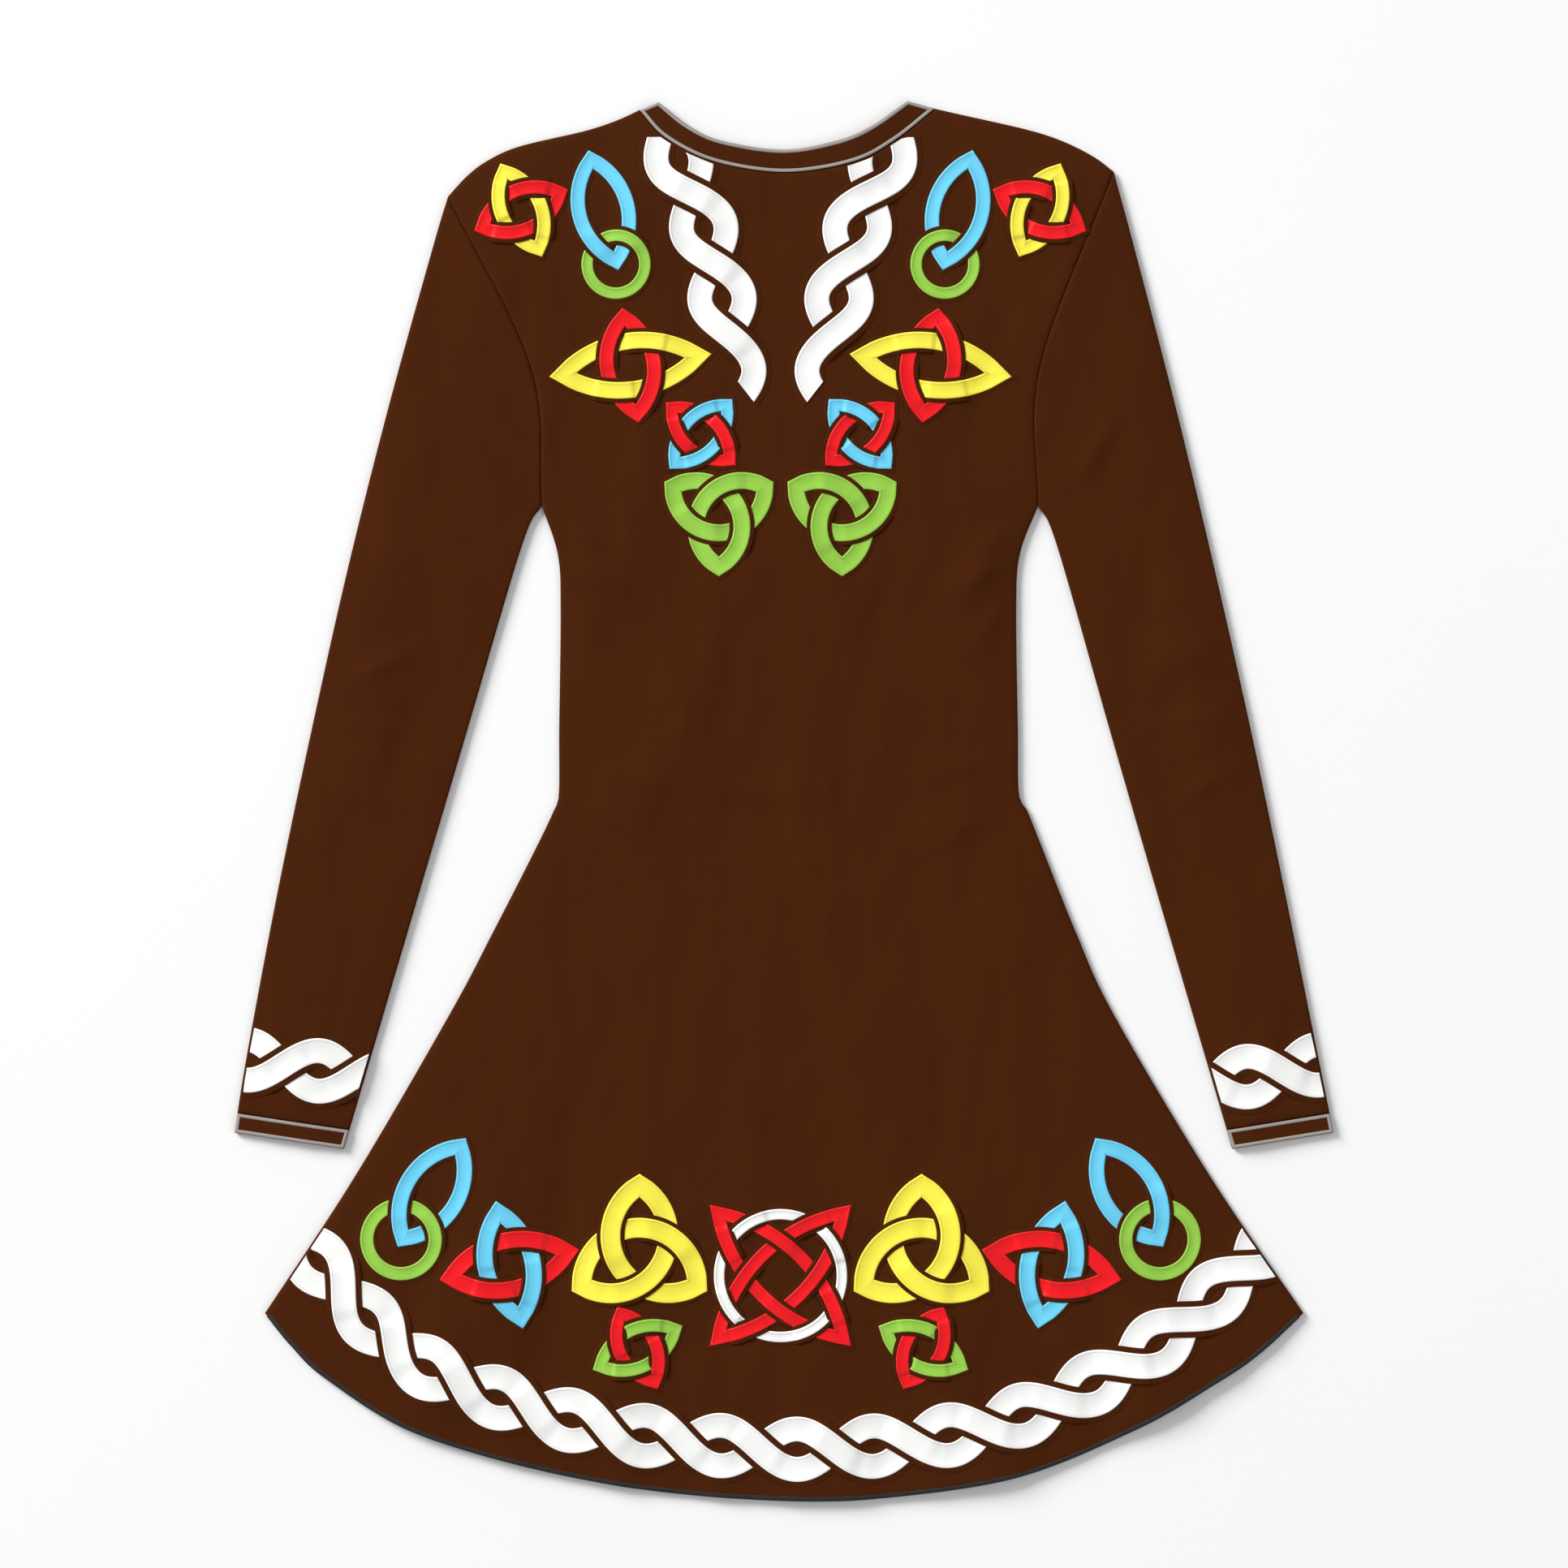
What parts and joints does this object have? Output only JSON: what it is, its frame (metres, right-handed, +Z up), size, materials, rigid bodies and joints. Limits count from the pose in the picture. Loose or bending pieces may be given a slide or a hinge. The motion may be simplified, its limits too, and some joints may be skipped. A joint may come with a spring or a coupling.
{
  "type": "irish dance dress",
  "caption": "Long-sleeved, A-line Irish dance dress in stretch cloth, laid flat front up, with white plaited ribbon at neck, cuffs and hem and coloured interlace knots.",
  "frame": {"origin": "middle of the dress's outline, on the surface that it lies on", "axes": "+Y towards the neck, +X towards the wearer's left sleeve, +Z up out of the front"},
  "size_m": [0.6092, 0.7754, 0.0076],
  "materials": {
    "dress_cloth": "matte stretch knit",
    "white": "satin applique",
    "red": "satin applique",
    "yellow": "satin applique",
    "green": "satin applique",
    "blue": "satin applique"
  },
  "bodies": {
    "root": {"front": "dress_cloth", "back": "dress_cloth", "sleeve_right": "dress_cloth", "sleeve_left": "dress_cloth", "cuff_right": "dress_cloth", "cuff_left": "dress_cloth", "neckband": "dress_cloth", "hem_twist_1": "white", "hem_twist_2": "white", "centre_knot_red_1": "red", "centre_knot_red_2": "red", "centre_knot_white": "white", "neck_twist_right_1": "white", "neck_twist_right_2": "white", "cuff_twist_right_1": "white", "cuff_twist_right_2": "white", "shoulder_knot_right_red": "red", "shoulder_knot_right_yellow": "yellow", "collar_knot_right_blue": "blue", "collar_knot_right_green": "green", "chest_knot_right_yellow": "yellow", "chest_knot_right_red": "red", "link_knot_right_red": "red", "link_knot_right_blue": "blue", "point_knot_right_green": "green", "outer_knot_right_blue": "blue", "outer_knot_right_green": "green", "middle_knot_right_red": "red", "middle_knot_right_blue": "blue", "inner_knot_right_yellow": "yellow", "lower_knot_right_green": "green", "lower_knot_right_red": "red", "neck_twist_left_1": "white", "neck_twist_left_2": "white", "cuff_twist_left_1": "white", "cuff_twist_left_2": "white", "shoulder_knot_left_red": "red", "shoulder_knot_left_yellow": "yellow", "collar_knot_left_blue": "blue", "collar_knot_left_green": "green", "chest_knot_left_yellow": "yellow", "chest_knot_left_red": "red", "link_knot_left_red": "red", "link_knot_left_blue": "blue", "point_knot_left_green": "green", "outer_knot_left_blue": "blue", "outer_knot_left_green": "green", "middle_knot_left_red": "red", "middle_knot_left_blue": "blue", "inner_knot_left_yellow": "yellow", "lower_knot_left_green": "green", "lower_knot_left_red": "red"}
  },
  "joints": []
}
